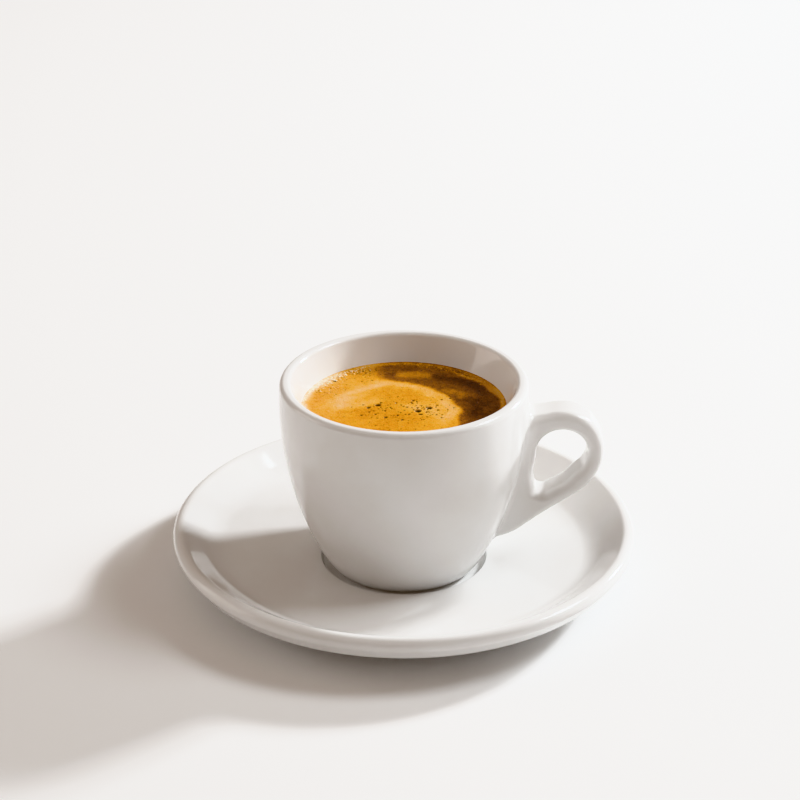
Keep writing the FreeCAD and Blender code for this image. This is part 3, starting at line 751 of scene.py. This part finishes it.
def buildCrema():
    # the relief on a disc grid, closed below by rings that follow the inside of the bowl
    x, y = foamGrid()
    height, tone, pit = foamRelief(x, y, np.random.default_rng(drink["seed"]))
    top = np.stack([x, y, height], -1).reshape(-1, 3)
    count = drink["cells"] + 1
    row, column = np.meshgrid(np.arange(count - 1), np.arange(count - 1), indexing="ij")
    corner = (row * count + column).ravel()
    quads = np.c_[corner, corner + count, corner + count + 1, corner + 1]
    # the border of the grid, once round
    step = np.arange(count - 1)
    border = np.r_[step * count, (count - 1) * count + step, (count - 1 - step) * count
                   + count - 1, count - 1 - step]
    angle = np.arctan2(top[border, 1], top[border, 0])
    body = evenSteps(roundedPath(drink["body"]), drink["bodyRows"] + 1,
                     drink["bodyTurnLength"])[1:-1]
    rings = ringPoints(body, angle)
    ringQuads = gridQuads(len(body), len(border)) + len(top)
    around = np.arange(len(border))
    ahead = np.roll(around, -1)
    joint = np.c_[border, border[ahead], len(top) + ahead, len(top) + around]
    bottom = np.array([[0, 0, drink["body"][-1][1]]])
    last = len(top) + len(rings)
    lowest = last - len(border)
    fan = np.c_[around * 0 + last, lowest + ahead, lowest + around]
    points = np.r_[top, rings, bottom]
    piece = makePiece("espresso_crema", points, np.r_[quads, joint, ringQuads[:, ::-1]], fan)
    for name, values in (("foamTone", tone), ("openBubble", pit)):
        whole = np.full(len(points), drink["bodyTone"])
        whole[:len(top)] = np.clip(values, 0, 1).ravel()
        attribute = piece.data.attributes.new(name, "FLOAT", "POINT")
        attribute.data.foreach_set("value", whole.astype(np.float32))
    piece.data.materials.append(makeCrema())
    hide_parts("espresso")


buildCrema()


studio = dict(
    floorSize=6.0, floorColour=(0.87, 0.866, 0.86), floorRoughness=0.9,
    # name, direction, distance, width and height, power, colour
    boxes=[
        ("keyLight", (0.735, 0.535, 0.415), 1.3, (0.17, 0.17), 24, (0.91, 0.96, 1.0)),
        ("windowLight", (0.98, 0.2, 1.0), 1.3, (0.4, 0.35), 9, (0.89, 0.955, 1.0)),
        ("leftLight", (-1.0, 0.1, 0.35), 1.3, (0.8, 0.8), 4, (1.0, 0.97, 0.94)),
    ],
    worldLow=(0.42, 0.31, 0.24), worldHigh=(1.0, 0.82, 0.69), worldStrength=0.42,
    worldTop=0.75,  # from here up the sky is worldHigh
    aimHeight=0.04,  # the boxes face this height above the table, in metres
    eye=(-0.001, -0.5571, 0.3187), lookAt=(-0.001, 0.0, 0.0489), lens=109.5, sensor=36,
)


def buildStudio():
    half = studio["floorSize"] / 2
    mesh = bpy.data.meshes.new("studio_floor")
    mesh.from_pydata([(-half, -half, 0), (half, -half, 0), (half, half, 0), (-half, half, 0)], [],
                     [(0, 1, 2, 3)])
    floor = bpy.data.objects.new("studio_floor", mesh)
    bpy.context.scene.collection.objects.link(floor)
    material, _, _, shader = newMaterial("paleFloor")
    shader.inputs["Base Color"].default_value = (*studio["floorColour"], 1)
    shader.inputs["Roughness"].default_value = studio["floorRoughness"]
    mesh.materials.append(material)


def addSoftbox(name, direction, distance, size, power, colour):
    # a rectangular light that stands in this direction and faces the cup
    light = bpy.data.lights.new(name, "AREA")
    light.shape = "RECTANGLE"
    light.size, light.size_y = size
    light.energy = power
    light.color = colour
    box = bpy.data.objects.new(name, light)
    towards = Vector(direction).normalized()
    box.location = towards * distance + Vector((0, 0, studio["aimHeight"]))
    box.rotation_mode = "QUATERNION"
    box.rotation_quaternion = towards.to_track_quat("Z", "Y")
    bpy.context.scene.collection.objects.link(box)


def buildWorld():
    world = bpy.data.worlds.new("studioRoom")
    bpy.context.scene.world = world
    world.use_nodes = True
    nodes, links = world.node_tree.nodes, world.node_tree.links
    place = nodes.new("ShaderNodeTexCoord").outputs["Generated"]
    split = nodes.new("ShaderNodeSeparateXYZ")
    links.new(place, split.inputs[0])
    colour = addRamp(nodes, links, split.outputs["Z"],
                     [(0.0, studio["worldLow"]), (studio["worldTop"], studio["worldHigh"])])
    links.new(colour, nodes["Background"].inputs["Color"])
    nodes["Background"].inputs["Strength"].default_value = studio["worldStrength"]


def buildCamera():
    lens = bpy.data.cameras.new("studioCamera")
    lens.lens = studio["lens"]
    lens.sensor_width = studio["sensor"]
    camera = bpy.data.objects.new("studioCamera", lens)
    camera.location = studio["eye"]
    back = Vector(studio["eye"]) - Vector(studio["lookAt"])
    camera.rotation_mode = "QUATERNION"
    camera.rotation_quaternion = back.to_track_quat("Z", "Y")
    bpy.context.scene.collection.objects.link(camera)
    bpy.context.scene.camera = camera


buildStudio()
for box in studio["boxes"]:
    addSoftbox(*box)
buildWorld()
buildCamera()
bpy.context.scene.view_settings.view_transform = "Khronos PBR Neutral"
print("studio ready")
